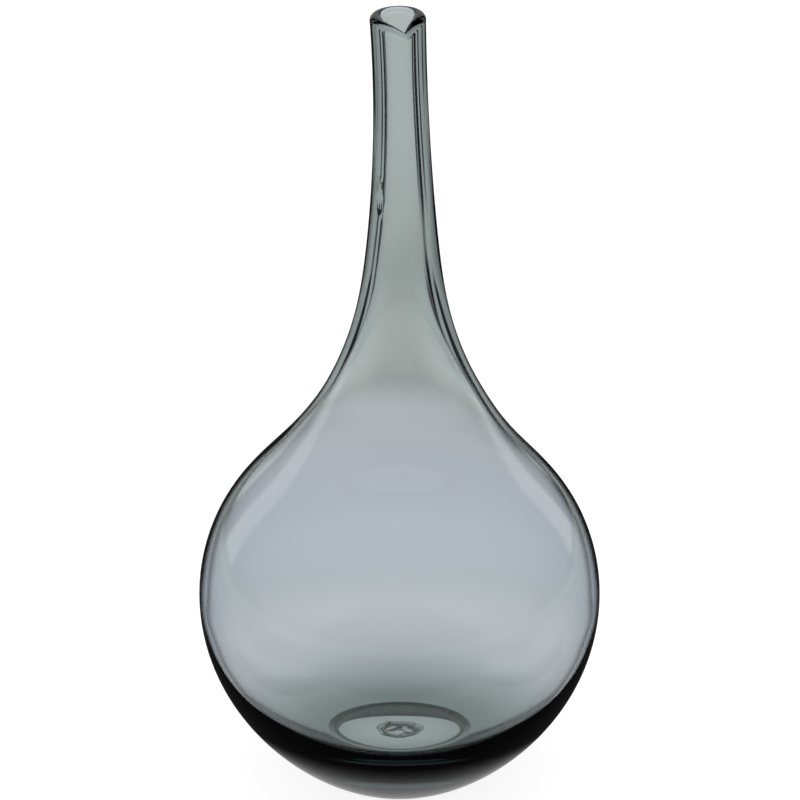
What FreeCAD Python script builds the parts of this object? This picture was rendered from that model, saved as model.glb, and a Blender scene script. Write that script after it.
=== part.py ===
"""Bottle vase blown in smoke glass: a round bulb drawn up into a long neck with a pinched pouring lip.

The vase stands on a narrow ring. Inside that ring its underside is pressed in, and the rough mark of
the iron that held it is left on the ceiling of that recess. +Z is up, the axis of the vase is the Z
axis, and the resting plane is z = 0. The pouring lip points along -Y. Lengths are in millimetres.
"""
import FreeCAD, Part
import math
import os
import Sketcher

# Every size that can be set by itself: its name, its value and what it measures.
DIMENSIONS = (
    ("overall_height", 301.5, "resting plane to the top of the lip"),
    ("bulb_radius", 77.0, "widest radius of the bulb"),
    ("widest_height", 73.6, "height of the widest circle of the bulb"),
    ("crown_offset", 5.0, "axis to the centre of the bend above the widest circle"),
    ("belly_offset", 0.0, "axis to the centre of the bend below the widest circle"),
    ("belly_angle", 30.1, "degrees below level at which that bend passes into the flatter flank"),
    ("foot_radius", 31.2, "outer radius of the ring that the vase stands on"),
    ("foot_rounding", 0.6, "rounding of both edges of that ring"),
    ("shoulder_radius", 124.0, "hollow sweep from the bulb into the neck"),
    ("neck_radius", 9.75, "outer radius of the neck at its narrowest"),
    ("mouth_length", 21.5, "narrowest place of the neck to the top of the lip"),
    ("neck_sweep_radius", 621.0, "long hollow sweep of the lower neck"),
    ("flare_radius", 785.0, "long hollow sweep above the narrowest place"),
    ("wall", 2.7, "glass at the widest circle"),
    ("crown_wall", 3.3, "what the inner bend above the widest circle is shorter than the outer one by"),
    ("shoulder_wall", 4.0, "glass on the shoulder"),
    ("neck_wall", 4.55, "glass of the neck"),
    ("inner_belly_offset", 8.3, "axis to the centre of the cavity's bend below the widest circle"),
    ("inner_belly_angle", 20.0, "degrees below level at which that bend passes into the heel"),
    ("floor_height", 12.0, "resting plane to the floor of the cavity"),
    ("floor_angle", 20.0, "half angle in degrees of the bowl of the cavity's floor"),
    ("recess_radius", 28.8, "radius of the recess at the resting plane"),
    ("recess_depth", 5.0, "resting plane to the ceiling of the recess"),
    ("recess_draft", 2.5, "what the recess is narrower by at its ceiling, on the radius"),
    ("recess_rounding", 1.5, "rounding between the ceiling and the side of the recess"),
    ("lip_drop", 5.4, "side view of the lip: its fall at the front of the neck"),
    ("lip_flat_offset", 1.0, "how far behind the axis the fall of the lip begins"),
    ("lip_rounding", 1.7, "fire-polished rounding of both edges of the lip"),
    ("mark_radius", 9.5, "radius of the iron's mark"),
    ("mark_thickness", 0.9, "how far the mark stands below the recess's ceiling"),
    ("mark_crater_radius", 5.5, "radius of the hollow broken out of the mark"),
    ("mark_crater_depth", 0.5, "depth of that hollow"),
)
WAIST = "(dimensions.overall_height - dimensions.mouth_length)"
CUT_MARGIN = 1.0   # how far a cutting profile reaches past the glass
ON_SIZE = 1e-4     # two lengths closer than this are the same
ORIGIN = (-1, 1)   # a sketch's own origin, as geometry and point
START, END, CENTRE = 1, 2, 3


def make_sheet(document):
    """Write the driving dimensions to a sheet, one row each, and return it."""
    sheet = document.addObject("Spreadsheet::Sheet", "dimensions")
    for row, (name, value, meaning) in enumerate(DIMENSIONS, start=1):
        sheet.set(f"A{row}", name)
        sheet.set(f"B{row}", str(value))
        sheet.set(f"C{row}", meaning)
        sheet.setAlias(f"B{row}", name)
    document.recompute()
    return sheet


class Sizes:
    """The sheet's values, read by name."""

    def __init__(self, sheet):
        self._sheet = sheet

    def __getattr__(self, name):
        return float(getattr(self._sheet, name))

    @property
    def crown_radius(self):
        """Bend of the bulb above its widest circle."""
        return self.bulb_radius - self.crown_offset

    @property
    def belly_radius(self):
        """Bend of the bulb below its widest circle."""
        return self.bulb_radius - self.belly_offset

    @property
    def inner_belly_radius(self):
        """Bend of the cavity below its widest circle."""
        return self.bulb_radius - self.wall - self.inner_belly_offset

    @property
    def neck_height(self):
        """Height at which the neck is narrowest."""
        return self.overall_height - self.mouth_length


# ---- plane geometry of the outline: points are (radius, height) ----

def centre_touching(first, first_distance, second, second_distance, side):
    """The point at the given distances from two centres, left (+1) or right (-1) of the line between them."""
    run, rise = second[0] - first[0], second[1] - first[1]
    span = math.hypot(run, rise)
    forward = (first_distance ** 2 - second_distance ** 2 + span ** 2) / (2.0 * span)
    sideways = side * math.sqrt(first_distance ** 2 - forward ** 2)
    return (first[0] + (forward * run - sideways * rise) / span,
            first[1] + (forward * rise + sideways * run) / span)


def point_towards(centre, target, distance):
    """The point at a distance from a centre, in the direction of a target."""
    run, rise = target[0] - centre[0], target[1] - centre[1]
    span = math.hypot(run, rise)
    return (centre[0] + run * distance / span, centre[1] + rise * distance / span)


def on_circle_at_height(centre, radius, height):
    """The point of a circle nearest to the axis at a height."""
    return (centre[0] - math.sqrt(radius ** 2 - (height - centre[1]) ** 2), height)


def flank_of(s, belly):
    """The belly's lower end, and the centre of the arc that goes on from it in line to the foot's edge."""
    angle = math.radians(s.belly_angle)
    inward = (-math.cos(angle), math.sin(angle))
    end = (belly[0] - s.belly_radius * inward[0], belly[1] - s.belly_radius * inward[1])
    run, rise = s.foot_radius - end[0], -end[1]
    radius = (run ** 2 + rise ** 2) / (2.0 * (inward[0] * run + inward[1] * rise))
    return end, (end[0] + radius * inward[0], end[1] + radius * inward[1])


def outer_outline(s):
    """Centres and joints of the six tangent arcs of the outside, from the foot to the mouth."""
    belly = (s.belly_offset, s.widest_height)
    crown = (s.crown_offset, s.widest_height)
    neck = (s.neck_radius + s.neck_sweep_radius, s.neck_height)
    flare = (s.neck_radius + s.flare_radius, s.neck_height)
    belly_end, flank = flank_of(s, belly)
    shoulder = centre_touching(crown, s.crown_radius + s.shoulder_radius,
                               neck, s.neck_sweep_radius - s.shoulder_radius, +1)
    return {
        "centres": (flank, belly, crown, shoulder, neck, flare),
        "joints": ((s.foot_radius, 0.0),
                   belly_end,
                   (s.bulb_radius, s.widest_height),
                   point_towards(crown, shoulder, s.crown_radius),
                   point_towards(neck, shoulder, s.neck_sweep_radius),
                   (s.neck_radius, s.neck_height),
                   on_circle_at_height(flare, s.flare_radius, s.overall_height + CUT_MARGIN)),
    }


def cavity_heel(s):
    """Radii of the cavity's floor arc and heel arc, which meet at the floor's half angle.

    The heel is in line with the bend above it, and its radius follows from the place of their joint:
    out from the axis by side, and above the floor by rise.
    """
    turn, half_angle = math.radians(s.inner_belly_angle), math.radians(s.floor_angle)
    side = s.inner_belly_offset + s.inner_belly_radius * math.cos(turn)
    rise = s.widest_height - s.floor_height - s.inner_belly_radius * math.sin(turn)
    lean = (1.0 - math.sin(turn)) / math.cos(turn)
    difference = (side * lean - rise) / (lean * math.sin(half_angle) + math.cos(half_angle) - 1.0)
    heel = (side - difference * math.sin(half_angle)) / math.cos(turn)
    return heel + difference, heel


def cavity_outline(s):
    """Centres and joints of the seven tangent arcs of the cavity, from its floor to the mouth."""
    floor_arc, heel_arc = cavity_heel(s)
    turn = math.radians(s.inner_belly_angle)
    reach = s.bulb_radius - s.wall
    crown_arc = s.crown_radius - s.crown_wall
    shoulder_arc = s.shoulder_radius + s.shoulder_wall
    bore_arc = s.neck_sweep_radius + s.neck_wall
    flare_arc = s.flare_radius + s.neck_wall
    half_angle = math.radians(s.floor_angle)
    floor = (0.0, s.floor_height + floor_arc)
    belly = (s.inner_belly_offset, s.widest_height)
    belly_end = (belly[0] + s.inner_belly_radius * math.cos(turn),
                 belly[1] - s.inner_belly_radius * math.sin(turn))
    heel = point_towards(belly, belly_end, s.inner_belly_radius - heel_arc)
    crown = (reach - crown_arc, s.widest_height)
    bore = (s.neck_radius + s.neck_sweep_radius, s.neck_height)
    flare = (s.neck_radius + s.flare_radius, s.neck_height)
    shoulder = centre_touching(crown, crown_arc + shoulder_arc, bore, bore_arc - shoulder_arc, +1)
    return {
        "centres": (floor, heel, belly, crown, shoulder, bore, flare),
        "joints": ((0.0, s.floor_height),
                   (floor_arc * math.sin(half_angle), floor[1] - floor_arc * math.cos(half_angle)),
                   belly_end,
                   (reach, s.widest_height),
                   point_towards(crown, shoulder, crown_arc),
                   point_towards(bore, shoulder, bore_arc),
                   (s.neck_radius - s.neck_wall, s.neck_height),
                   on_circle_at_height(flare, flare_arc, s.overall_height + CUT_MARGIN)),
    }


# ---- sketches ----

def new_sketch(body, name, plane_role):
    """A sketch of a body on one of the body's own origin planes."""
    plane = next(item for item in body.Origin.OriginFeatures if item.Role == plane_role)
    sketch = body.newObject("Sketcher::SketchObject", name)
    sketch.AttachmentSupport = [(plane, "")]
    sketch.MapMode = "FlatFace"
    return sketch


def add_line(sketch, first, last):
    """Add a straight edge and return its number."""
    edge = Part.LineSegment(FreeCAD.Vector(*first, 0), FreeCAD.Vector(*last, 0))
    return sketch.addGeometry(edge, False)


def add_arc(sketch, centre, first, last):
    """Add the shorter arc about a centre between two points, and say which end is the first point."""
    angles = [math.atan2(point[1] - centre[1], point[0] - centre[0]) for point in (first, last)]
    sweep = (angles[1] - angles[0] + math.pi) % (2.0 * math.pi) - math.pi
    low, high = sorted((angles[0], angles[0] + sweep))
    radius = math.hypot(first[0] - centre[0], first[1] - centre[1])
    circle = Part.Circle(FreeCAD.Vector(*centre, 0), FreeCAD.Vector(0, 0, 1), radius)
    arc = sketch.addGeometry(Part.ArcOfCircle(circle, low, high), False)
    return arc, (START, END) if sweep > 0 else (END, START)


def bind(sketch, kind, geometry, expression):
    """Add a sized constraint, measured as drawn, and bind it to the sheet."""
    drawn = sketch.addConstraint(Sketcher.Constraint(kind, *geometry))
    sketch.setExpression(f"Constraints[{drawn}]", expression)


def place(sketch, item, point, across=None, up=None):
    """Bind a point's distances from the sketch's origin to expressions."""
    where = sketch.getPoint(item, point) if point != CENTRE else sketch.Geometry[item].Center
    for kind, expression, value in (("DistanceX", across, where.x), ("DistanceY", up, where.y)):
        if expression is not None:
            bind(sketch, kind, (*ORIGIN, item, point, value), expression)


def join(sketch, first, first_point, second, second_point):
    """Make two points one."""
    sketch.addConstraint(Sketcher.Constraint("Coincident", first, first_point, second, second_point))


def draw_arc_chain(sketch, outline, radii):
    """Draw an outline's tangent arcs and bind their radii, and return the arcs with their ends."""
    chain = []
    joints = outline["joints"]
    for centre, first, last, radius in zip(outline["centres"], joints, joints[1:], radii):
        arc, ends = add_arc(sketch, centre, first, last)
        if radius is not None:
            drawn = math.hypot(first[0] - centre[0], first[1] - centre[1])
            bind(sketch, "Radius", (arc, drawn), radius)
        if chain:
            before, before_ends = chain[-1]
            sketch.addConstraint(Sketcher.Constraint("Tangent", before, before_ends[1], arc, ends[0]))
        chain.append((arc, ends))
    return chain


def close_to_axis(sketch, first, last, outline):
    """Close an outline along the axis, with a level edge at the mouth."""
    mouth, bottom = outline["joints"][-1], outline["joints"][0]
    level = add_line(sketch, mouth, (0.0, mouth[1]))
    join(sketch, last[0], last[1], level, START)
    sketch.addConstraint(Sketcher.Constraint("Horizontal", level))
    axis = add_line(sketch, (0.0, mouth[1]), (0.0, 0.0 if first is None else bottom[1]))
    join(sketch, level, END, axis, START)
    sketch.addConstraint(Sketcher.Constraint("Vertical", axis))
    return axis


def draw_outside(sketch, s):
    """Half section of the solid glass, as if the vase had no cavity."""
    outline = outer_outline(s)
    belly_radius = "(dimensions.bulb_radius - dimensions.belly_offset)"
    chain = draw_arc_chain(sketch, outline, (
        None, None, None, "dimensions.shoulder_radius", "dimensions.neck_sweep_radius",
        "dimensions.flare_radius"))
    belly, crown, neck, flare = chain[1], chain[2], chain[4], chain[5]
    place(sketch, crown[0], START, "dimensions.bulb_radius", "dimensions.widest_height")
    place(sketch, crown[0], CENTRE, "dimensions.crown_offset")
    place(sketch, belly[0], CENTRE, "dimensions.belly_offset")
    place(sketch, belly[0], START,
          None, f"dimensions.widest_height - {belly_radius} * sin(dimensions.belly_angle * 1 deg)")
    place(sketch, flare[0], END, "dimensions.neck_radius", WAIST)
    place(sketch, neck[0], CENTRE, None, WAIST)
    place(sketch, flare[0], START, None, f"dimensions.overall_height + {CUT_MARGIN}")
    sole = add_line(sketch, (0.0, 0.0), outline["joints"][0])
    join(sketch, *ORIGIN, sole, START)
    sketch.addConstraint(Sketcher.Constraint("Horizontal", sole))
    join(sketch, sole, END, chain[0][0], START)
    bind(sketch, "DistanceX", (*ORIGIN, sole, END, s.foot_radius), "dimensions.foot_radius")
    axis = close_to_axis(sketch, None, (flare[0], START), outline)
    join(sketch, axis, END, sole, START)


def draw_cavity(sketch, s):
    """Half section of the air inside the vase, from its floor up through the bore."""
    outline = cavity_outline(s)
    turn, half = "dimensions.inner_belly_angle * 1 deg", "dimensions.floor_angle * 1 deg"
    reach = "(dimensions.bulb_radius - dimensions.wall)"
    bend = f"({reach} - dimensions.inner_belly_offset)"
    side = f"(dimensions.inner_belly_offset + {bend} * cos({turn}))"
    rise = f"(dimensions.widest_height - dimensions.floor_height - {bend} * sin({turn}))"
    lean = f"((1 - sin({turn})) / cos({turn}))"
    difference = f"(({side} * {lean} - {rise}) / ({lean} * sin({half}) + cos({half}) - 1))"
    chain = draw_arc_chain(sketch, outline, (
        None, f"({side} - {difference} * sin({half})) / cos({turn})", None,
        "dimensions.bulb_radius - dimensions.crown_offset - dimensions.crown_wall",
        "dimensions.shoulder_radius + dimensions.shoulder_wall",
        "dimensions.neck_sweep_radius + dimensions.neck_wall",
        "dimensions.flare_radius + dimensions.neck_wall"))
    floor, belly, crown, bore, flare = (chain[number] for number in (0, 2, 3, 5, 6))
    place(sketch, crown[0], START, reach, "dimensions.widest_height")
    place(sketch, belly[0], CENTRE, "dimensions.inner_belly_offset")
    place(sketch, belly[0], START, None, f"dimensions.widest_height - {bend} * sin({turn})")
    place(sketch, crown[0], CENTRE, None, "dimensions.widest_height")
    place(sketch, flare[0], END, "dimensions.neck_radius - dimensions.neck_wall", WAIST)
    place(sketch, bore[0], CENTRE, None, WAIST)
    place(sketch, flare[0], START, None, f"dimensions.overall_height + {CUT_MARGIN}")
    place(sketch, floor[0], START, None, "dimensions.floor_height")
    sketch.addConstraint(Sketcher.Constraint("PointOnObject", floor[0], CENTRE, -2))
    axis = close_to_axis(sketch, floor, (flare[0], START), outline)
    join(sketch, axis, END, floor[0], START)
    sketch.addConstraint(Sketcher.Constraint("PointOnObject", axis, END, -2))


def draw_polygon(sketch, points):
    """Draw a closed outline of straight edges, joined at their ends, and return the edges."""
    edges = [add_line(sketch, first, last) for first, last in zip(points, points[1:] + points[:1])]
    for edge, following in zip(edges, edges[1:] + edges[:1]):
        join(sketch, edge, END, following, START)
    return edges


def draw_recess(sketch, s):
    """Half section of the air under the vase: a shallow dish with a sloping side."""
    top = s.recess_radius - s.recess_draft
    edges = draw_polygon(sketch, [(0.0, 0.0), (s.recess_radius, 0.0), (top, s.recess_depth),
                                  (0.0, s.recess_depth)])
    mouth, _, ceiling, axis = edges
    join(sketch, *ORIGIN, mouth, START)
    for edge in (mouth, ceiling):
        sketch.addConstraint(Sketcher.Constraint("Horizontal", edge))
    sketch.addConstraint(Sketcher.Constraint("Vertical", axis))
    place(sketch, mouth, END, "dimensions.recess_radius")
    place(sketch, ceiling, START, "dimensions.recess_radius - dimensions.recess_draft",
          "dimensions.recess_depth")


def draw_mouth_trim(sketch, s):
    """Side view of what is cut off the tall blank: level at the back, then falling to the front.

    The fall is an arc as far as the neck's own radius, and goes on straight past it. The sketch's +X is
    the vase's +Y.
    """
    ahead, behind = -2.0 * s.neck_radius, 2.0 * s.neck_radius
    above = s.overall_height + 2.0 * CUT_MARGIN
    reach = s.lip_flat_offset + s.neck_radius
    bend = (reach ** 2 + s.lip_drop ** 2) / (2.0 * s.lip_drop)
    begin = (s.lip_flat_offset, s.overall_height)
    end = (-s.neck_radius, s.overall_height - s.lip_drop)
    fall = reach / (bend - s.lip_drop)
    low = (ahead, end[1] + fall * (ahead - end[0]))
    arc, ends = add_arc(sketch, (begin[0], begin[1] - bend), begin, end)
    slope = add_line(sketch, end, low)
    front = add_line(sketch, low, (ahead, above))
    roof = add_line(sketch, (ahead, above), (behind, above))
    back = add_line(sketch, (behind, above), (behind, s.overall_height))
    level = add_line(sketch, (behind, s.overall_height), begin)
    sketch.addConstraint(Sketcher.Constraint("Tangent", arc, ends[1], slope, START))
    for edge, following in zip((slope, front, roof, back), (front, roof, back, level)):
        join(sketch, edge, END, following, START)
    sketch.addConstraint(Sketcher.Constraint("Tangent", level, END, arc, ends[0]))
    for edge, direction in ((front, "Vertical"), (roof, "Horizontal"), (back, "Vertical"),
                            (level, "Horizontal")):
        sketch.addConstraint(Sketcher.Constraint(direction, edge))
    place(sketch, level, END, "dimensions.lip_flat_offset", "dimensions.overall_height")
    place(sketch, slope, START, "-dimensions.neck_radius",
          "dimensions.overall_height - dimensions.lip_drop")
    place(sketch, slope, END, "-2 * dimensions.neck_radius")
    place(sketch, roof, END, "2 * dimensions.neck_radius",
          f"dimensions.overall_height + 2 * {CUT_MARGIN}")


def draw_mark(sketch, s):
    """Half section of the iron's mark: a thin disc on the recess's ceiling, with a broken-out hollow."""
    low = s.recess_depth - s.mark_thickness
    edges = draw_polygon(sketch, [(0.0, s.recess_depth), (0.0, low + s.mark_crater_depth),
                                  (s.mark_crater_radius, low), (s.mark_radius, low),
                                  (s.mark_radius, s.recess_depth)])
    axis, _, land, rim, top = edges
    for edge, direction in ((axis, "Vertical"), (land, "Horizontal"), (rim, "Vertical"), (top, "Horizontal")):
        sketch.addConstraint(Sketcher.Constraint(direction, edge))
    sketch.addConstraint(Sketcher.Constraint("PointOnObject", axis, START, -2))
    place(sketch, rim, END, "dimensions.mark_radius", "dimensions.recess_depth")
    place(sketch, land, START, "dimensions.mark_crater_radius",
          "dimensions.recess_depth - dimensions.mark_thickness")
    place(sketch, axis, END, None,
          "dimensions.recess_depth - dimensions.mark_thickness + dimensions.mark_crater_depth")


# ---- features ----

def turned(body, kind, name, sketch):
    """Turn a sketch once round the axis, as glass (Revolution) or as a cut (Groove)."""
    feature = body.newObject(kind, name)
    feature.Profile = sketch
    feature.ReferenceAxis = (sketch, ["V_Axis"])
    feature.Angle = 360.0
    sketch.Visibility = False
    return feature


def circles_at(shape, radius, height):
    """Names of a shape's round edges with a radius and height about the axis."""
    names = []
    for number, edge in enumerate(shape.Edges, start=1):
        if edge.Degenerated or not isinstance(edge.Curve, Part.Circle):
            continue
        circle = edge.Curve
        level = abs(circle.Axis.z) > 1.0 - ON_SIZE
        if level and abs(circle.Radius - radius) < ON_SIZE and abs(circle.Center.z - height) < ON_SIZE:
            names.append(f"Edge{number}")
    return names


def lip_edges(shape, s):
    """Names of the inner and outer edges of the mouth: all edges of its rim that don't cross the wall."""
    lowest = s.overall_height - s.mouth_length / 2.0
    names = []
    for number, edge in enumerate(shape.Edges, start=1):
        ends = [vertex.Point for vertex in edge.Vertexes]
        radii = [math.hypot(point.x, point.y) for point in ends]
        along_wall = max(radii) - min(radii) < s.neck_wall / 2.0
        if edge.BoundBox.ZMin > lowest and along_wall:
            names.append(f"Edge{number}")
    return names


def rounded(body, name, base, edges, size):
    """Round a feature's edges with a radius from the sheet."""
    fillet = body.newObject("PartDesign::Fillet", name)
    fillet.Base = (base, edges)
    fillet.setExpression("Radius", f"dimensions.{size}")
    return fillet


def make_vessel(document, s):
    """The vase itself: one wall of glass from the foot to the lip."""
    body = document.addObject("PartDesign::Body", "glass_vessel")
    body.Label = "glass_vessel"
    outside = new_sketch(body, "outside_section", "XZ_Plane")
    draw_outside(outside, s)
    turned(body, "PartDesign::Revolution", "blown_form", outside)
    cavity = new_sketch(body, "cavity_section", "XZ_Plane")
    draw_cavity(cavity, s)
    turned(body, "PartDesign::Groove", "cavity", cavity)
    recess = new_sketch(body, "recess_section", "XZ_Plane")
    draw_recess(recess, s)
    cut = turned(body, "PartDesign::Groove", "recess", recess)
    document.recompute()
    ceiling = circles_at(cut.Shape, s.recess_radius - s.recess_draft, s.recess_depth)
    corner = rounded(body, "recess_corner", cut, ceiling, "recess_rounding")
    document.recompute()
    ring = circles_at(corner.Shape, s.recess_radius, 0.0) + circles_at(corner.Shape, s.foot_radius, 0.0)
    rounded(body, "foot_edges", corner, ring, "foot_rounding")
    side_view = new_sketch(body, "mouth_side_view", "YZ_Plane")
    draw_mouth_trim(side_view, s)
    dip = body.newObject("PartDesign::Pocket", "mouth_trim")
    dip.Profile = side_view
    dip.Type = "Length"
    dip.Midplane = True
    dip.setExpression("Length", "4 * dimensions.neck_radius")
    document.recompute()
    rounded(body, "fire_polished_lip", dip, lip_edges(dip.Shape, s), "lip_rounding")
    document.recompute()
    return body


def make_mark(document, s):
    """What is left of the iron's own glass where the vase was broken off it."""
    body = document.addObject("PartDesign::Body", "pontil_mark")
    body.Label = "pontil_mark"
    section = new_sketch(body, "mark_section", "XZ_Plane")
    draw_mark(section, s)
    turned(body, "PartDesign::Revolution", "mark", section)
    document.recompute()
    return body


def check(document, bodies):
    """Stop if any object of the document failed or a piece isn't one valid solid."""
    failed = [item.Name for item in document.Objects if {"Invalid", "Error"} & set(item.State)]
    if failed:
        raise RuntimeError(f"these objects failed: {failed}")
    for body in bodies:
        shape = body.Shape
        if shape.isNull() or not shape.isValid() or len(shape.Solids) != 1:
            raise RuntimeError(f"{body.Label} isn't one valid solid")


def main():
    """Build the document and write each piece to its own file."""
    document = FreeCAD.newDocument("bottle_vase")
    sizes = Sizes(make_sheet(document))
    bodies = [make_vessel(document, sizes), make_mark(document, sizes)]
    check(document, bodies)
    os.makedirs("parts", exist_ok=True)
    for body in bodies:
        box = body.Shape.optimalBoundingBox()
        print(f"{body.Label}: {body.Shape.Volume / 1000.0:.1f} cm3, "
              f"{box.XLength:.1f} x {box.YLength:.1f} x {box.ZLength:.1f} mm")
        body.Shape.exportStep(os.path.join("parts", f"{body.Label}.step"))


main()
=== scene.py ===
"""Bottle vase of hand-blown smoke glass, on a pale floor in a plain studio.

All lengths are in metres, and +Z is up. The foot ring of the vase lies on z = 0 round the Z axis, and
the dipped front of its lip faces -Y, towards the camera.
"""
import logging
import math
from dataclasses import dataclass
from enum import Enum
from typing import Any, Sequence

import bpy
import numpy as np
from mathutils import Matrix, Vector


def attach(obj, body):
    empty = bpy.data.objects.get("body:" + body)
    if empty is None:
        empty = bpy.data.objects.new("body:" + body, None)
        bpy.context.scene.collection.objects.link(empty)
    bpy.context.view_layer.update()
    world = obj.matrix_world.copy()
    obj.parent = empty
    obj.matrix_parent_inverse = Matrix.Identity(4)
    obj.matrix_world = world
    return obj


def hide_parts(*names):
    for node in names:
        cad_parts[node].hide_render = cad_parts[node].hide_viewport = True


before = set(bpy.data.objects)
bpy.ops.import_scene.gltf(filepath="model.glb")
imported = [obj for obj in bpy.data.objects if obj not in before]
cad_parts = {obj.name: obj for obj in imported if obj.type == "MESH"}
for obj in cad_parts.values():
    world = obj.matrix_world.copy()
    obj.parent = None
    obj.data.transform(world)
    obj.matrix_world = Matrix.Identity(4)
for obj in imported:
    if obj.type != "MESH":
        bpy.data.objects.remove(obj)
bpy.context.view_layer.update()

LOG = logging.getLogger("bottle_vase")
MM = 0.001

Point = tuple[float, float]
Array = np.ndarray


# ---------------------------------------------------------------- colours and nodes

def linear(hex_colour: str) -> tuple[float, float, float, float]:
    """Turn an sRGB hex colour into linear light.

    Args:
        hex_colour: Six hex digits, with or without a leading "#".

    Returns:
        Linear red, green and blue, and an alpha of 1.
    """
    digits = hex_colour.lstrip("#")
    channels = np.array([int(digits[i:i + 2], 16) for i in (0, 2, 4)]) / 255.0
    light = np.where(channels <= 0.04045, channels / 12.92, ((channels + 0.055) / 1.055) ** 2.4)
    return (*light.tolist(), 1.0)


def add_node(tree: bpy.types.NodeTree, kind: str, settings: dict[str, Any] | None = None,
             values: dict[Any, Any] | None = None, links: dict[Any, Any] | None = None) -> bpy.types.Node:
    """Add a node, set it up and link its inputs.

    Args:
        tree: The node tree of a material or a world.
        kind: The node's type name.
        settings: Attributes of the node itself.
        values: Constants of its input sockets, by name or number.
        links: Output sockets that feed its inputs, by name or number.

    Returns:
        The new node.
    """
    node = tree.nodes.new(kind)
    for name, value in (settings or {}).items():
        setattr(node, name, value)
    for socket, value in (values or {}).items():
        node.inputs[socket].default_value = value
    for socket, source in (links or {}).items():
        tree.links.new(source, node.inputs[socket])
    return node


def add_rise(tree: bpy.types.NodeTree, value: Any, low: float, high: float,
             first: float = 0.0, last: float = 1.0) -> Any:
    """Add a smooth change from one level to another, flat outside its two ends.

    Args:
        tree: The node tree.
        value: The output socket that drives it.
        low: Value where the change begins.
        high: Value where it ends.
        first: Level at low.
        last: Level at high.

    Returns:
        The level's output socket.
    """
    return add_node(tree, "ShaderNodeMapRange", {"interpolation_type": "SMOOTHSTEP"},
                    {"From Min": low, "From Max": high, "To Min": first, "To Max": last},
                    {"Value": value}).outputs[0]


def add_ramp(tree: bpy.types.NodeTree, factor: Any, stops: Sequence[tuple[float, float | str]]) -> Any:
    """Add a colour ramp with straight runs between its stops.

    Args:
        tree: The node tree.
        factor: The output socket that drives the ramp, from 0 to 1.
        stops: Position of each stop, in order, and its grey level or its hex colour.

    Returns:
        The ramp's colour output.
    """
    node = add_node(tree, "ShaderNodeValToRGB", links={"Fac": factor})
    elements = node.color_ramp.elements
    while len(elements) < len(stops):
        elements.new(1.0)
    for element, (position, _) in zip(elements, stops):
        element.position = position
    for element, (_, shade) in zip(elements, stops):
        element.color = linear(shade) if isinstance(shade, str) else (shade, shade, shade, 1.0)
    return node.outputs["Color"]


# ---------------------------------------------------------------- surfaces

def arc(centre: Point, start: Point, end: Point, count: int) -> Array:
    """Sample the shorter arc about a centre.

    Points lie at centre + radius * (cos t, sin t), with t running evenly between the two ends.

    Args:
        centre: Centre of the arc, as radius and height.
        start: First point.
        end: Last point.
        count: Number of points, both ends included.

    Returns:
        An array of count rows of radius and height.
    """
    first = math.atan2(start[1] - centre[1], start[0] - centre[0])
    last = math.atan2(end[1] - centre[1], end[0] - centre[0])
    sweep = (last - first + math.pi) % (2.0 * math.pi) - math.pi
    angles = first + sweep * np.linspace(0.0, 1.0, count)
    radius = math.dist(centre, start)
    return np.column_stack((centre[0] + radius * np.cos(angles), centre[1] + radius * np.sin(angles)))


def touching_centre(first: Point, first_reach: float, second: Point, second_reach: float,
                    side: int) -> Point:
    """Find the point at given distances from two centres, where two circles cross.

    Args:
        first: First centre.
        first_reach: Distance from it.
        second: Second centre.
        second_reach: Distance from it.
        side: +1 for the crossing left of the line from first to second, -1 for the right one.

    Returns:
        The crossing.
    """
    run, rise = second[0] - first[0], second[1] - first[1]
    span = math.hypot(run, rise)
    forward = (first_reach ** 2 - second_reach ** 2 + span ** 2) / (2.0 * span)
    sideways = side * math.sqrt(first_reach ** 2 - forward ** 2)
    return (first[0] + (forward * run - sideways * rise) / span,
            first[1] + (forward * rise + sideways * run) / span)


def towards(centre: Point, target: Point, reach: float) -> Point:
    """Go from a centre towards a target.

    Args:
        centre: Where to start.
        target: Where to head.
        reach: How far to go.

    Returns:
        The point reached.
    """
    share = reach / math.dist(centre, target)
    return (centre[0] + (target[0] - centre[0]) * share, centre[1] + (target[1] - centre[1]) * share)


def smooth_step(values: Array | float, low: float, high: float) -> Array:
    """Rise from 0 at low to 1 at high along 3t^2 - 2t^3, with t the clipped share of the way.

    Args:
        values: Where to take the curve.
        low: Where the rise begins.
        high: Where it ends.

    Returns:
        The rise at each value.
    """
    share = np.clip((np.asarray(values) - low) / (high - low), 0.0, 1.0)
    return share * share * (3.0 - 2.0 * share)


def angle_between(angles: Array, middle: float) -> Array:
    """Measure angles from a middle angle.

    Args:
        angles: Angles in radians.
        middle: The middle angle in radians.

    Returns:
        Signed differences, wrapped to -pi..pi.
    """
    return (angles - middle + math.pi) % (2.0 * math.pi) - math.pi


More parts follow.
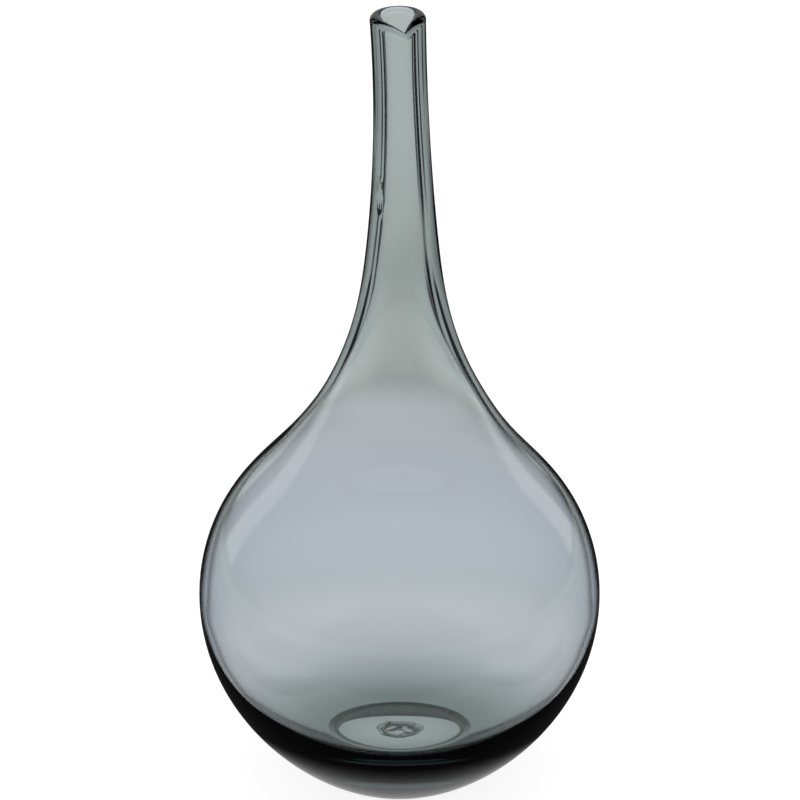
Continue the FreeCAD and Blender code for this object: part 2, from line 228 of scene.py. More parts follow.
def eased(path: Array, blend: float, step: float) -> Array:
    """Ease the jumps of curvature where the arcs of a path meet, as drawn glass does.

    The path is resampled at an even step. Its curvature is averaged over a sliding stretch, integrated
    back to headings and to points, and the small miss at the far end is spread along the path.

    Args:
        path: Points of radius and height, tangent all along.
        blend: Length over which the curvature is averaged.
        step: Distance between the points returned.

    Returns:
        Points of radius and height, with both ends where they were.
    """
    along = np.concatenate(([0.0], np.cumsum(np.hypot(*np.diff(path, axis=0).T))))
    even = np.linspace(0.0, along[-1], int(along[-1] / step) + 1)
    points = np.column_stack([np.interp(even, along, column) for column in path.T])
    runs = np.diff(points, axis=0)
    heading = np.unwrap(np.arctan2(runs[:, 1], runs[:, 0]))
    reach = max(1, round(blend / step / 2.0))
    kernel = np.hanning(2 * reach + 3)[1:-1]
    slack = np.arange(1, reach + 1)
    before = heading[0] - slack[::-1] * (heading[1] - heading[0])
    after = heading[-1] + slack * (heading[-1] - heading[-2])
    smooth = np.convolve(np.concatenate((before, heading, after)), kernel / kernel.sum(), mode="valid")
    lengths = np.hypot(*runs.T)[:, None]
    moved = points[0] + np.vstack(([0.0, 0.0], np.cumsum(
        lengths * np.column_stack((np.cos(smooth), np.sin(smooth))), axis=0)))
    share = np.linspace(0.0, 1.0, len(moved))[:, None]
    return moved + share * (points[-1] - moved[-1])


def turned_mesh(name: str, rows: Array) -> bpy.types.Object:
    """Build a closed smooth surface from a grid whose first and last rows are poles.

    Vertex (row, column) joins its neighbours in a quad, the columns close round, and each pole is one
    vertex joined to its ring in a fan.

    Args:
        name: Name of the piece.
        rows: Array (rows, columns, 3) of points. Only the first point of a pole's row is used.

    Returns:
        The object, in the scene, with its faces outward when the rows run outward over the underside,
        up the outside and back down the inside.
    """
    count, around = rows.shape[:2]
    rings = rows[1:-1].reshape(-1, 3)
    points = np.vstack((rows[0, 0], rings, rows[-1, 0]))
    column = np.arange(around)
    following = (column + 1) % around
    row = np.arange(count - 3)[:, None] * around + 1
    quads = np.stack((row + column, row + following, row + around + following, row + around + column),
                     axis=-1).reshape(-1, 4)
    last_ring = 1 + (count - 3) * around
    first_fan = np.column_stack((np.zeros(around, int), 1 + following, 1 + column))
    last_fan = np.column_stack((np.full(around, len(points) - 1), last_ring + column,
                                last_ring + following))
    mesh = bpy.data.meshes.new(name)
    mesh.from_pydata(points, [], quads.tolist() + first_fan.tolist() + last_fan.tolist())
    mesh.polygons.foreach_set("use_smooth", np.ones(len(mesh.polygons), bool))
    mesh.update()
    mesh.validate()
    piece = bpy.data.objects.new(name, mesh)
    bpy.context.scene.collection.objects.link(piece)
    return piece


# ---------------------------------------------------------------- finishes

class Surface(Enum):
    """How a glass surface was left by its maker."""

    FIRE_POLISHED = "fire polished"
    BROKEN = "broken"


@dataclass(frozen=True)
class SmokeGlass:
    """Soda-lime glass, tinted right through, blown and fire-polished or left broken.

    The tint comes from the depth of glass that light crosses: pale through one wall, near black along
    the thick base.
    """

    name: str
    surface: Surface
    tint: str = "99A9A7"          # grey with a little green, as iron and cobalt leave it
    density: float = 101.0        # per metre: two walls of 4.5 mm keep a little over half of the light
    ior: float = 1.5
    edge_shade_tint: str = "1C1E1F"      # painted shade where a surface is seen along itself, darkening the glass's outline
    edge_shade_from: float = 0.72
    edge_shade_full: float = 0.86
    ripple_width: float = 26.0 * MM   # the slow ripples that blowing leaves in a wall
    ripple_depth: float = 0.02 * MM
    chip_width: float = 1.6 * MM      # the facets of a break
    chip_depth: float = 0.30 * MM
    chip_roughness: float = 0.06
    painted_shade_tint: str = "0A0B0B"         # painted shade: round the foot ring where it meets the floor, and in lines along the edges of the break
    # Painted shade on the foot ring where it meets the floor: its span from the axis, its soft inner and
    # outer edges, its fade with height, and its deepening from front to back.
    foot_shade_ring: Point = (27.6 * MM, 31.4 * MM)
    foot_shade_edges: Point = (0.35 * MM, 0.3 * MM)
    foot_shade_top: Point = (2.5 * MM, 3.5 * MM)
    foot_shade_along: Point = (-18.0 * MM, 8.0 * MM)
    foot_shade_front: float = 0.25          # share of the painted shade that the ring's front shows
    shadow_line_spacing: float = 9.0 * MM    # painted shadow lines along the wavy edges of the break
    shadow_line_soft: Point = (0.012, 0.035)

    def foot_shade(self, tree: bpy.types.NodeTree, where: Any) -> Any:
        """Mask the painted shade round the foot ring where it meets the floor, deepest at its back.

        Args:
            tree: The material's node tree.
            where: Output socket of the Object coordinates.

        Returns:
            Output socket of the mask, 0 for unshaded glass.
        """
        flat = add_node(tree, "ShaderNodeVectorMath", {"operation": "MULTIPLY"},
                        {1: (1.0, 1.0, 0.0)}, {0: where})
        reach = add_node(tree, "ShaderNodeVectorMath", {"operation": "LENGTH"},
                         links={0: flat.outputs[0]}).outputs["Value"]
        parts = add_node(tree, "ShaderNodeSeparateXYZ", links={0: where}).outputs
        inner, outer = self.foot_shade_ring
        shares = (add_rise(tree, reach, inner, inner + self.foot_shade_edges[0]),
                  add_rise(tree, reach, outer, outer + self.foot_shade_edges[1], 1.0, 0.0),
                  add_rise(tree, parts["Z"], *self.foot_shade_top, 1.0, 0.0),
                  add_rise(tree, parts["Y"], *self.foot_shade_along, self.foot_shade_front, 1.0))
        mask = shares[0]
        for share in shares[1:]:
            mask = add_node(tree, "ShaderNodeMath", {"operation": "MULTIPLY"},
                            links={0: mask, 1: share}).outputs[0]
        return mask

    def break_shadow_lines(self, tree: bpy.types.NodeTree, where: Any) -> Any:
        """Mask the painted shadow lines along the wavy edges of the break, which follow the level lines of a
        slow noise.

        Args:
            tree: The material's node tree.
            where: Output socket of the Object coordinates.

        Returns:
            Output socket of the mask, 0 between the edges.
        """
        noise = add_node(tree, "ShaderNodeTexNoise",
                         values={"Scale": 1.0 / self.shadow_line_spacing, "Detail": 1.0},
                         links={"Vector": where})
        off = add_node(tree, "ShaderNodeMath", {"operation": "SUBTRACT"}, {1: 0.5},
                       {0: noise.outputs["Fac"]})
        apart = add_node(tree, "ShaderNodeMath", {"operation": "ABSOLUTE"}, links={0: off.outputs[0]})
        # Painted shade: dark lines where the noise crosses its middle level.
        return add_rise(tree, apart.outputs[0], *self.shadow_line_soft, 1.0, 0.0)

    def material(self) -> bpy.types.Material:
        """Build the finish as a material.

        Returns:
            Clear glass with a tint through its depth and painted shade: where it is seen along itself, round
            the foot ring of blown glass, and along the edges of a break.
        """
        material = bpy.data.materials.new(self.name)
        material.use_nodes = True
        tree = material.node_tree
        tree.nodes.clear()
        where = add_node(tree, "ShaderNodeTexCoord").outputs["Object"]
        broken = self.surface is Surface.BROKEN
        width, depth = ((self.chip_width, self.chip_depth) if broken
                        else (self.ripple_width, self.ripple_depth))
        relief = add_node(tree, "ShaderNodeTexNoise",
                          values={"Scale": 1.0 / width, "Detail": 2.0 if broken else 0.0},
                          links={"Vector": where})
        bump = add_node(tree, "ShaderNodeBump", values={"Strength": 1.0, "Distance": depth},
                        links={"Height": relief.outputs["Fac"]})
        glance = add_node(tree, "ShaderNodeLayerWeight", values={"Blend": 0.5})
        # Painted shade: the glass's base colour is darkened where its surface is seen along itself, so its
        # outline shows dark.
        edge = add_rise(tree, glance.outputs["Facing"], self.edge_shade_from, self.edge_shade_full)
        rim = add_node(tree, "ShaderNodeMix", {"data_type": "RGBA"},
                       {6: (1.0, 1.0, 1.0, 1.0), 7: linear(self.edge_shade_tint)}, {0: edge})
        # Painted shade: on blown glass round the foot ring where it meets the floor, on the break in lines
        # along its edges.
        shade_mask = self.break_shadow_lines(tree, where) if broken else self.foot_shade(tree, where)
        skin = add_node(tree, "ShaderNodeMix", {"data_type": "RGBA"}, {7: linear(self.painted_shade_tint)},
                        {0: shade_mask, 6: rim.outputs[2]})
        body = add_node(tree, "ShaderNodeBsdfPrincipled",
                        values={"Transmission Weight": 1.0, "IOR": self.ior,
                                "Roughness": self.chip_roughness if broken else 0.0},
                        links={"Normal": bump.outputs["Normal"], "Base Color": skin.outputs[2]})
        depth_tint = add_node(tree, "ShaderNodeVolumeAbsorption",
                              values={"Color": linear(self.tint), "Density": self.density})
        add_node(tree, "ShaderNodeOutputMaterial",
                 links={"Surface": body.outputs["BSDF"], "Volume": depth_tint.outputs["Volume"]})
        return material


# ---------------------------------------------------------------- the vase

@dataclass(frozen=True)
class Knot:
    """A small fault in the skin of the neck."""

    turn: float                   # degrees round the axis
    height: float
    push: float                   # outward, and inward below 0
    size: float


@dataclass
class GlassVessel:
    """Bulb, shoulders, neck, lip and base: one wall of glass.

    Its half section is a chain of tangent arcs, turned round the axis and then pushed a little out of
    true, as the maker's hands left it.
    """

    finish: SmokeGlass
    height: float = 301.4 * MM        # the tilted rim's highest point stands a little above this
    bulb_radius: float = 77.0 * MM
    widest_height: float = 73.6 * MM
    crown_radius: float = 72.0 * MM
    belly_radius: float = 77.0 * MM
    flank_radius: float = 94.6 * MM
    foot_radius: float = 31.2 * MM
    shoulder_radius: float = 124.0 * MM
    neck_radius: float = 9.75 * MM
    neck_height: float = 280.0 * MM
    neck_sweep: float = 621.0 * MM
    flare_sweep: float = 785.0 * MM
    wall: float = 2.6 * MM
    shoulder_wall: float = 2.0 * MM
    shoulder_span: Point = (74.0 * MM, 130.0 * MM)
    root_wall: float = 5.0 * MM
    root_span: Point = (139.0 * MM, 205.0 * MM)
    neck_wall: float = 4.55 * MM
    neck_span: Point = (200.0 * MM, 260.0 * MM)
    inner_belly: float = 66.0 * MM
    belly_angle: float = 20.0         # degrees below level where the cavity's side turns into its heel
    inner_heel: float = 54.1 * MM
    floor_height: float = 12.0 * MM
    recess_radius: float = 29.0 * MM
    recess_depth: float = 5.0 * MM
    recess_slope: float = 2.5 * MM
    recess_dome: float = 0.6 * MM
    thick_shift: float = 0.3 * MM     # the cavity lies this much to the left low in the neck
    thick_rise: Point = (125.0 * MM, 145.0 * MM)
    thick_fall: Point = (205.0 * MM, 235.0 * MM)
    lean_right: float = 1.15 * MM
    lean_right_span: Point = (125.0 * MM, 160.0 * MM)
    lean_back: float = 1.9 * MM
    lean_back_span: Point = (215.0 * MM, 302.0 * MM)
    mouth_span: float = 24.0 * MM     # the rim's tilt and notch fade out this far down
    rim_drop: float = 0.36 * MM
    rim_tilt: float = 0.45 * MM
    rim_high: float = 62.0            # degrees round the axis of the rim's highest side
    notch_depth: float = 5.4 * MM
    notch_turn: float = -70.0
    notch_left: float = 38.0          # degrees over which the notch fades on its left, and on its right
    notch_right: float = 20.0
    notch_round: float = 0.05         # rounding of the notch's point, in radians
    knots: tuple[Knot, ...] = (Knot(221.7, 239.7 * MM, -0.55 * MM, 1.1 * MM),
                               Knot(226.0, 232.8 * MM, 0.5 * MM, 1.2 * MM),
                               Knot(233.0, 230.8 * MM, -0.45 * MM, 1.1 * MM))
    easing: float = 45.0 * MM         # length over which the outside's changes of curvature are spread
    inner_easing: float = 15.0 * MM
    step: float = 1.7 * MM
    around: int = 208
    recess_rows: int = 14
    lip_rows: int = 17
    lip_gap: float = 0.04             # walls end this share of the lip's radius short of it

    def outside(self) -> list[Array]:
        """Sample the outer arcs from the foot to the mouth, each tangent to the next.

        Returns:
            One array of radius and height for each arc.
        """
        belly = (self.bulb_radius - self.belly_radius, self.widest_height)
        crown = (self.bulb_radius - self.crown_radius, self.widest_height)
        neck = (self.neck_radius + self.neck_sweep, self.neck_height)
        flare = (self.neck_radius + self.flare_sweep, self.neck_height)
        foot = (self.foot_radius, 0.0)
        flank = touching_centre(belly, self.flank_radius - self.belly_radius,
                                foot, self.flank_radius, -1)
        shoulder = touching_centre(crown, self.crown_radius + self.shoulder_radius,
                                   neck, self.neck_sweep - self.shoulder_radius, +1)
        joints = (foot, towards(flank, belly, self.flank_radius), (self.bulb_radius, self.widest_height),
                  towards(crown, shoulder, self.crown_radius), towards(neck, shoulder, self.neck_sweep),
                  (self.neck_radius, self.neck_height), self.mouth_point(flare, self.flare_sweep))
        centres = (flank, belly, crown, shoulder, neck, flare)
        counts = (30, 26, 30, 34, 30, 8)
        return [arc(c, a, b, n) for c, a, b, n in zip(centres, joints, joints[1:], counts)]

    def glass(self, heights: Array) -> Array:
        """Thickness of the wall above the widest circle.

        It thins towards the shoulder, where the bulb was blown out most, and is thick again in the
        neck, which was drawn from the unblown end of the gather.

        Args:
            heights: Heights on the outside.

        Returns:
            The wall's thickness at each height.
        """
        thinning = (self.wall - self.shoulder_wall) * smooth_step(heights, *self.shoulder_span)
        drawn = (self.root_wall - self.shoulder_wall) * smooth_step(heights, *self.root_span)
        narrowing = (self.root_wall - self.neck_wall) * smooth_step(heights, *self.neck_span)
        return self.wall - thinning + drawn - narrowing

    def inside(self, outer: Array) -> Array:
        """Trace the cavity from its floor to the mouth.

        Its lower part is a chain of tangent arcs. From the widest circle up, it follows the outside at
        the wall's thickness.

        Args:
            outer: Points of the outside, from the foot to the mouth.

        Returns:
            Points of radius and height.
        """
        reach = self.bulb_radius - self.wall
        belly = (reach - self.inner_belly, self.widest_height)
        turn = math.radians(self.belly_angle)
        corner = (belly[0] + self.inner_belly * math.cos(turn), belly[1] - self.inner_belly * math.sin(turn))
        heel = towards(belly, corner, self.inner_belly - self.inner_heel)
        rise = heel[1] - self.floor_height
        floor_arc = (heel[0] ** 2 + rise ** 2 - self.inner_heel ** 2) / (2.0 * (rise - self.inner_heel))
        floor = (0.0, self.floor_height + floor_arc)
        joints = ((0.0, self.floor_height), towards(floor, heel, floor_arc), corner,
                  (reach, self.widest_height))
        low = [arc(c, a, b, n) for c, a, b, n in
               zip((floor, heel, belly), joints, joints[1:], (40, 60, 40))]
        runs = np.gradient(outer, axis=0)
        normals = np.column_stack((runs[:, 1], -runs[:, 0])) / np.hypot(*runs.T)[:, None]
        above = outer[:, 1] > self.widest_height + self.step
        high = (outer - normals * self.glass(outer[:, 1])[:, None])[above]
        return np.vstack((low[0], low[1][1:], low[2][1:], high))

    def mouth_point(self, centre: Point, radius: float) -> Point:
        """Find where an arc above the neck's waist reaches the top of the lip.

        Args:
            centre: Centre of the arc, outside the neck.
            radius: Radius of the arc.

        Returns:
            The point, as radius and height.
        """
        return (centre[0] - math.sqrt(radius ** 2 - (self.height - centre[1]) ** 2), self.height)

    def ceiling_height(self, across: Array) -> Array:
        """Height of the recess's domed ceiling.

        Args:
            across: Distances from the axis.

        Returns:
            The height at each distance.
        """
        reach = self.recess_radius - self.recess_slope
        return self.recess_depth + self.recess_dome * (1.0 - (across / reach) ** 2)

    def underside(self) -> Array:
        """Sample the recess: a slightly domed ceiling, then an S-shaped side down to the foot ring.

        Returns:
            Points of radius and height, from the axis outward.
        """
        inner = self.recess_radius - self.recess_slope
        across = np.linspace(0.0, inner, self.recess_rows)
        ceiling = np.column_stack((across, self.ceiling_height(across)))
        share = np.linspace(0.0, 1.0, self.recess_rows + 1)[1:]
        side = np.column_stack((inner + self.recess_slope * share,
                                self.recess_depth * (1.0 - smooth_step(share, 0.0, 1.0))))
        return np.vstack((ceiling, side))

    def section(self) -> Array:
        """Join the half section into one path: underside, outside, round lip and cavity.

        The lip is half a circle between the two walls, its top at the vase's height.

        Returns:
            Points of radius and height, from the underside's middle to the cavity's.
        """
        arcs = np.vstack([part[1:] if n else part for n, part in enumerate(self.outside())])
        outer = eased(arcs, self.easing, self.step)
        inner = eased(self.inside(outer), self.inner_easing, self.step)
        thick = (outer[-1, 0] - inner[-1, 0]) / 2.0
        middle = (outer[-1, 0] + inner[-1, 0]) / 2.0
        angles = np.linspace(0.0, math.pi, self.lip_rows)
        lip = np.column_stack((middle + thick * np.cos(angles),
                               self.height - thick + thick * np.sin(angles)))
        below = self.height - thick * (1.0 + self.lip_gap)
        return np.vstack((self.underside(), outer[outer[:, 1] < below], lip,
                          inner[inner[:, 1] < below][::-1]))

    def rim_height(self, angles: Array) -> Array:
        """Height of the rim against a level one, round the mouth.

        A slow tilt, plus a notch where the lip was sheared: it falls as exp(-distance / width) to a
        rounded point at the front, and climbs faster on the right.

        Args:
            angles: Directions round the axis.

        Returns:
            Height to add to the rim in each direction.
        """
        tilt = self.rim_tilt * np.cos(angle_between(angles, math.radians(self.rim_high)))
        off = angle_between(angles, math.radians(self.notch_turn))
        width = np.where(off < 0.0, math.radians(self.notch_left), math.radians(self.notch_right))
        notch = np.exp(-np.sqrt(off ** 2 + self.notch_round ** 2) / width)
        return tilt - self.rim_drop - self.notch_depth * notch

    def lean(self, heights: Array) -> Array:
        """Sideways lean of the axis: right through the shoulders, then back to the left at the mouth.

        Args:
            heights: Heights of points.

        Returns:
            How far each point moves to the right.
        """
        low, high = self.lean_back_span
        right = self.lean_right * smooth_step(heights, *self.lean_right_span)
        return right - self.lean_back * np.clip((heights - low) / (high - low), 0.0, 1.0) ** 2

    def knot_push(self, angles: Array, radius: Array, height: Array) -> Array:
        """Push of the neck's skin in or out at its knots, each a round bump that fades as exp(-d^2).

        Args:
            angles: Directions round the axis.
            radius: Distance of each point from the axis.
            height: Height of each point.

        Returns:
            Outward push of each point.
        """
        push = np.zeros(np.broadcast(angles, height).shape)
        for knot in self.knots:
            across = angle_between(angles, math.radians(knot.turn)) * radius
            push = push + knot.push * np.exp(-(across ** 2 + (height - knot.height) ** 2) / knot.size ** 2)
        return push

    def grid(self) -> Array:
        """Turn the section and push it out of true.

        Returns:
            Array (rows, around, 3) of points.
        """
        section = self.section()
        angles = np.linspace(0.0, 2.0 * math.pi, self.around, endpoint=False)
        radius = np.repeat(section[:, :1], self.around, axis=1)
        height = np.repeat(section[:, 1:], self.around, axis=1)
        near_mouth = smooth_step(height, self.height - self.mouth_span, self.height)
        height = height + near_mouth * self.rim_height(angles)[None, :]
        in_cavity = np.arange(len(section))[:, None] >= np.argmax(section[:, 1])
        aside = self.thick_shift * smooth_step(height, *self.thick_rise) * (
            1.0 - smooth_step(height, *self.thick_fall))
        radius = radius + np.where(in_cavity, 0.0, self.knot_push(angles[None, :], radius, height))
        along_x = radius * np.cos(angles) + self.lean(height) - np.where(in_cavity, aside, 0.0)
        along_y = radius * np.sin(angles)
        return np.stack((along_x, along_y, height), axis=-1)

    def build(self) -> bpy.types.Object:
        """Build the vessel in place of its plain solid.

        Returns:
            The piece.
        """
        piece = turned_mesh("blown_vessel", self.grid())
        piece.data.materials.append(self.finish.material())
        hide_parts("glass_vessel")
        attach(piece, "root")
        return piece


@dataclass
class PontilMark:
    """The broken bit of glass in the middle of the recess, where the iron was knocked off."""

    finish: SmokeGlass
    vessel: GlassVessel
    radius: float = 9.6 * MM
    thickness: float = 0.9 * MM
    air: float = 0.03 * MM        # gap to the recess's ceiling, so that no two faces coincide
    swell_at: float = 0.72        # the swelling's middle and width, as shares of the radius
    swell_width: float = 0.12
    thin: float = 0.08            # thickness away from the swelling, as a share of the full one
    # Waves of the outline: height as a share of the radius, number round the edge, and turn in radians.
    edge_waves: tuple[tuple[float, float, float], ...] = ((0.05, 3.0, 0.6), (0.03, 7.0, 0.0))
    ragged: float = 0.35          # waves of the underside, as a share of its thickness
    ragged_around: float = 2.0
    ragged_twist: float = 5.0
    ragged_outward: float = 9.0
    under_rows: int = 26
    top_rows: int = 14
    around: int = 96

    def grid(self) -> Array:
        """Build a lens-like crust: a smooth top under the recess's ceiling and a broken underside.

        The underside hangs by a ring-shaped swelling round a hollow middle, with a few slow waves round
        it, and thins out to its ragged edge.

        Returns:
            Array (rows, around, 3) of points.
        """
        angles = np.linspace(0.0, 2.0 * math.pi, self.around, endpoint=False)
        edge = self.radius * (1.0 + sum(height * np.sin(count * angles + turn)
                                        for height, count, turn in self.edge_waves))
        share = np.concatenate((np.linspace(0.0, 1.0, self.under_rows),
                                np.linspace(1.0, 0.0, self.top_rows)[1:]))
        under = np.arange(len(share)) < self.under_rows
        radius = share[:, None] * edge[None, :]
        top = self.vessel.ceiling_height(radius) - self.air
        swell = self.thin + (1.0 - self.thin) * np.exp(-((share - self.swell_at) / self.swell_width) ** 2)
        rounded = np.sqrt(np.clip(1.0 - share ** 6, 0.0, 1.0))
        waves = (np.sin(self.ragged_around * angles + self.ragged_twist * share[:, None])
                 * np.sin(self.ragged_outward * share[:, None]))
        drop = (self.thickness * rounded * swell)[:, None] * (1.0 + self.ragged * waves)
        height = top - np.where(under[:, None], drop, 0.0)
        return np.stack((radius * np.cos(angles), radius * np.sin(angles), height), axis=-1)

    def build(self) -> bpy.types.Object:
        """Build the mark in place of its plain disc.

        Returns:
            The piece.
        """
        piece = turned_mesh("iron_mark", self.grid())
        piece.data.materials.append(self.finish.material())
        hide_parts("pontil_mark")
        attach(piece, "root")
        return piece


# ---------------------------------------------------------------- the studio

@dataclass
class Studio:
    """A pale floor, a soft lamp overhead and a bright surround with dark screens beside the vase.

    Clear glass shows only what stands round it, so the dark screens draw its edges.
    """

    # Degrees off straight ahead, and brightness: what glass shows through both of its walls, and
    # through a single one. Behind the viewer it is bright for both, and dark for one.
    ahead: tuple[Point, ...] = ((0.0, 1.0), (30.0, 1.0), (33.5, 0.02), (44.0, 0.02), (47.5, 0.8),
                                (59.0, 0.8), (63.0, 0.02), (77.0, 0.02), (84.0, 0.8), (180.0, 0.8))
    aside: tuple[Point, ...] = ((0.0, 0.78), (30.0, 0.78), (33.5, 0.02), (44.0, 0.02), (47.5, 0.8),
                                (59.0, 0.8), (63.0, 0.02), (180.0, 0.02))
    off_line: float = 3.5         # degrees that the screens are turned to the left
    both_walls: float = 2.5       # a ray that has crossed more surfaces than this went through both
    backdrop: str = "E5ECEB"      # pale grey paper, as glass shows it
    # Distance from the vase's axis in metres, and the colour of the floor there as glass shows it, with
    # painted light and shade: darker near the foot, a painted pool of light round it, then greyer out to
    # half a metre.
    paper: tuple[tuple[float, str], ...] = ((0.04, "CED6D7"), (0.08, "F6F9FF"), (0.115, "F1F3FB"),
                                            (0.16, "D8E0E8"), (0.28, "D5DAE5"), (0.39, "D0D5DC"),
                                            (0.49, "C2C8C5"), (0.63, "E2E7E3"), (0.82, "E5ECEB"))
    paper_to: float = 1.0
    ceiling_from: float = 46.0    # degrees above the horizon where the dark ceiling begins
    ceiling_to: float = 54.0
    ceiling_level: float = 0.03
    floor_size: float = 8.0
    floor_gap: float = 0.05 * MM  # air under the foot, so that glass and paper do not share a plane
    floor_grey: float = 0.2       # what the camera sees: a little lit paper, and the rest its own glow
    floor_glow: float = 0.88
    floor_white: float = 0.8      # what lights the vase from below
    paper_ends: Point = (0.60, 0.85)  # from the first distance to the second, screens replace paper
    gathered: float = 0.5         # brightness, in the glass's shine, of the light it gathers at its foot
    gathered_rest: float = 0.02
    gathered_span: Point = (0.064, 0.038)
    lamp_size: float = 1.6
    lamp_watts: float = 8.0
    lamp_place: tuple[float, float, float] = (0.0, 0.2, 1.9)

    def off_ahead(self, tree: bpy.types.NodeTree, across: Any, along: Any) -> Any:
        """Measure how far a direction is turned off straight ahead, to either side.

        Args:
            tree: The node tree.
            across: Output socket of the direction's X part.
            along: Output socket of its Y part.

        Returns:
            Output socket of the angle, as a share of half a turn.
        """
        turned = add_node(tree, "ShaderNodeMath", {"operation": "ARCTAN2"}, links={0: across, 1: along})
        shifted = add_node(tree, "ShaderNodeMath", {"operation": "ADD"},
                           {1: math.radians(self.off_line)}, {0: turned.outputs[0]})
        folded = add_node(tree, "ShaderNodeMath", {"operation": "ABSOLUTE"},
                          links={0: shifted.outputs[0]})
        return add_node(tree, "ShaderNodeMath", {"operation": "DIVIDE"}, {1: math.pi},
                        {0: folded.outputs[0]}).outputs[0]

    def screens(self, tree: bpy.types.NodeTree, across: Any, along: Any, depth: Any) -> Any:
        """Colour the surround as clear glass shows it, by direction and by walls crossed.

        Args:
            tree: The node tree.
            across: Output socket of the direction's X part.
            along: Output socket of its Y part.
            depth: Output socket of the number of surfaces that the ray has gone through.

        Returns:
            Output socket of the colour.
        """
        share = self.off_ahead(tree, across, along)
        both, single = (add_ramp(tree, share, [(angle / 180.0, level) for angle, level in stops])
                        for stops in (self.ahead, self.aside))
        through = add_node(tree, "ShaderNodeMath", {"operation": "GREATER_THAN"},
                           {1: self.both_walls}, {0: depth})
        chosen = add_node(tree, "ShaderNodeMix", {"data_type": "RGBA"},
                          links={0: through.outputs[0], 6: single, 7: both})
        return add_node(tree, "ShaderNodeMix", {"data_type": "RGBA", "blend_type": "MULTIPLY"},
                        {0: 1.0, 7: linear(self.backdrop)}, {6: chosen.outputs[2]}).outputs[2]

    def surround(self) -> None:
        """Light the scene from all round: white to the camera, with screens as glass sees it."""
        world = bpy.data.worlds.new("studio")
        bpy.context.scene.world = world
        world.use_nodes = True
        tree = world.node_tree
        tree.nodes.clear()
        where = add_node(tree, "ShaderNodeTexCoord").outputs["Generated"]
        parts = add_node(tree, "ShaderNodeSeparateXYZ", links={0: where}).outputs
        path = add_node(tree, "ShaderNodeLightPath").outputs
        screens = self.screens(tree, parts["X"], parts["Y"], path["Transmission Depth"])
        lid = add_rise(tree, parts["Z"], math.sin(math.radians(self.ceiling_from)),
                       math.sin(math.radians(self.ceiling_to)), 1.0, self.ceiling_level)
        shaded = add_node(tree, "ShaderNodeMix", {"data_type": "RGBA", "blend_type": "MULTIPLY"},
                          {0: 1.0}, {6: screens, 7: lid})
        clear = add_node(tree, "ShaderNodeMath", {"operation": "MAXIMUM"},
                         links={0: path["Is Glossy Ray"], 1: path["Is Transmission Ray"]})
        plain = add_node(tree, "ShaderNodeMix", {"data_type": "RGBA"},
                         {6: (1.0, 1.0, 1.0, 1.0)}, {0: clear.outputs[0], 7: shaded.outputs[2]})
        back = add_node(tree, "ShaderNodeBackground", values={"Strength": 1.0},
                        links={"Color": plain.outputs[2]})
        add_node(tree, "ShaderNodeOutputWorld", links={"Surface": back.outputs[0]})

    def seen_in_glass(self, tree: bpy.types.NodeTree, where: Any, path: Any) -> Any:
        """Colour the floor as glass shows it: paper with painted light and shade near the vase, and the
        screens beyond.

        Where the glass only mirrors the floor, it shows the light gathered at the foot and no more.

        Args:
            tree: The floor's node tree.
            where: Output socket of the Object coordinates.
            path: Outputs of the Light Path node.

        Returns:
            Output socket of the colour.
        """
        parts = add_node(tree, "ShaderNodeSeparateXYZ", links={0: where}).outputs
        screens = self.screens(tree, parts["X"], parts["Y"], path["Transmission Depth"])
        reach = add_node(tree, "ShaderNodeVectorMath", {"operation": "LENGTH"},
                         links={0: where}).outputs["Value"]
        far = add_rise(tree, reach, *self.paper_ends)
        outward = add_node(tree, "ShaderNodeMath", {"operation": "DIVIDE"}, {1: self.paper_to}, {0: reach})
        # Painted light and shade on the paper by distance from the vase: darker near the foot, and a pool of
        # light round it.
        paper = add_ramp(tree, outward.outputs[0],
                         [(distance / self.paper_to, colour) for distance, colour in self.paper])
        spread = add_node(tree, "ShaderNodeMix", {"data_type": "RGBA"}, links={0: far, 6: paper, 7: screens})
        mirrored = add_rise(tree, reach, *self.gathered_span, self.gathered_rest, self.gathered)
        return add_node(tree, "ShaderNodeMix", {"data_type": "RGBA"},
                        links={0: path["Is Transmission Ray"], 6: mirrored,
                               7: spread.outputs[2]}).outputs[2]

    def floor_material(self) -> bpy.types.Material:
        """Build the floor's paper: white to the camera but for a faint shadow.

        Returns:
            The material.
        """
        material = bpy.data.materials.new("matt white paper")
        material.use_nodes = True
        tree = material.node_tree
        tree.nodes.clear()
        where = add_node(tree, "ShaderNodeTexCoord").outputs["Object"]
        path = add_node(tree, "ShaderNodeLightPath").outputs
        grey, white = self.floor_grey, self.floor_white
        paper = add_node(tree, "ShaderNodeBsdfDiffuse", values={"Color": (grey, grey, grey, 1.0)})
        glow = add_node(tree, "ShaderNodeEmission", values={"Strength": self.floor_glow})
        seen = add_node(tree, "ShaderNodeAddShader", links={0: paper.outputs[0], 1: glow.outputs[0]})
        lit = add_node(tree, "ShaderNodeBsdfDiffuse", values={"Color": (white, white, white, 1.0)})
        direct = add_node(tree, "ShaderNodeMixShader",
                          links={0: path["Is Camera Ray"], 1: lit.outputs[0], 2: seen.outputs[0]})
        shown = add_node(tree, "ShaderNodeEmission", values={"Strength": 1.0},
                         links={"Color": self.seen_in_glass(tree, where, path)})
        clear = add_node(tree, "ShaderNodeMath", {"operation": "MAXIMUM"},
                         links={0: path["Is Glossy Ray"], 1: path["Is Transmission Ray"]})
        mixed = add_node(tree, "ShaderNodeMixShader",
                         links={0: clear.outputs[0], 1: direct.outputs[0], 2: shown.outputs[0]})
        add_node(tree, "ShaderNodeOutputMaterial", links={"Surface": mixed.outputs[0]})
        return material

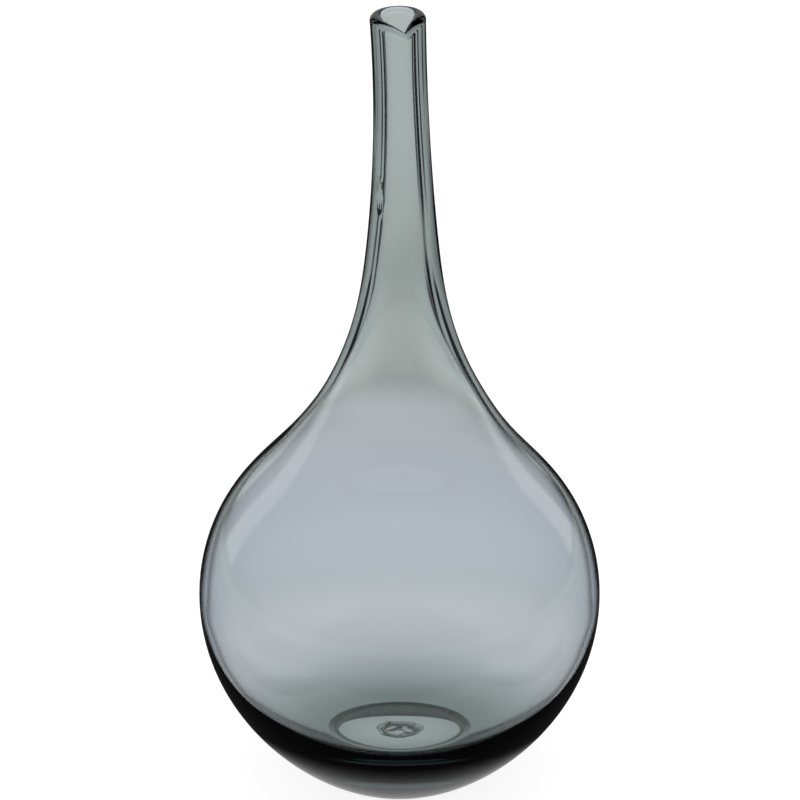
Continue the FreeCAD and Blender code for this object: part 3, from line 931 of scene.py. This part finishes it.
    def floor(self) -> bpy.types.Object:
        """Lay the floor, a flat square round the vase.

        Returns:
            The floor.
        """
        half, low = self.floor_size / 2.0, -self.floor_gap
        mesh = bpy.data.meshes.new("floor")
        corners = [(-half, -half, low), (half, -half, low), (half, half, low), (-half, half, low)]
        mesh.from_pydata(corners, [], [(0, 1, 2, 3)])
        mesh.materials.append(self.floor_material())
        piece = bpy.data.objects.new("floor", mesh)
        bpy.context.scene.collection.objects.link(piece)
        return piece

    def lamp(self) -> bpy.types.Object:
        """Hang one large soft lamp above the vase, which glass does not show.

        Returns:
            The lamp.
        """
        data = bpy.data.lights.new("softbox", "AREA")
        data.shape = "SQUARE"
        data.size = self.lamp_size
        data.energy = self.lamp_watts
        piece = bpy.data.objects.new("softbox", data)
        piece.location = self.lamp_place
        piece.visible_glossy = False
        piece.visible_transmission = False
        bpy.context.scene.collection.objects.link(piece)
        return piece


@dataclass
class Camera:
    """The photograph's viewpoint: a little above, looking at the middle of the bulb."""

    aim_height: float = 71.7 * MM
    elevation: float = 26.0
    pixels: int = 800
    metres_per_pixel: float = 0.3847 * MM
    distance_pixels: float = 3180.0
    aim_pixel: Point = (399.5, 596.7)
    sensor: float = 36.0          # millimetres

    def build(self) -> bpy.types.Object:
        """Set up the camera and make it the scene's.

        Returns:
            The camera.
        """
        tilt = math.radians(self.elevation)
        back = Vector((0.0, -math.cos(tilt), math.sin(tilt)))
        data = bpy.data.cameras.new("camera")
        data.sensor_width = self.sensor
        data.lens = data.sensor_width * self.distance_pixels / self.pixels
        data.shift_x = (self.pixels / 2.0 - self.aim_pixel[0]) / self.pixels
        data.shift_y = (self.aim_pixel[1] - self.pixels / 2.0) / self.pixels
        piece = bpy.data.objects.new("camera", data)
        piece.location = Vector((0.0, 0.0, self.aim_height)) + back * (
            self.distance_pixels * self.metres_per_pixel)
        piece.rotation_euler = (-back).to_track_quat("-Z", "Y").to_euler()
        bpy.context.scene.collection.objects.link(piece)
        bpy.context.scene.camera = piece
        return piece


def main() -> None:
    """Build the camera, the studio and the vase."""
    logging.basicConfig(level=logging.INFO, format="%(name)s: %(message)s")
    bpy.context.scene.view_settings.view_transform = "Standard"
    Camera().build()
    studio = Studio()
    studio.surround()
    studio.floor()
    studio.lamp()
    vessel = GlassVessel(SmokeGlass("blown smoke glass", Surface.FIRE_POLISHED))
    # The break is thin but crazed, so its tint is set deep enough for its ridges to show dark.
    mark = PontilMark(SmokeGlass("broken smoke glass", Surface.BROKEN, density=2400.0), vessel)
    for piece in (vessel.build(), mark.build()):
        LOG.info("%s: %d faces", piece.name, len(piece.data.polygons))


if __name__ == "__main__":
    main()
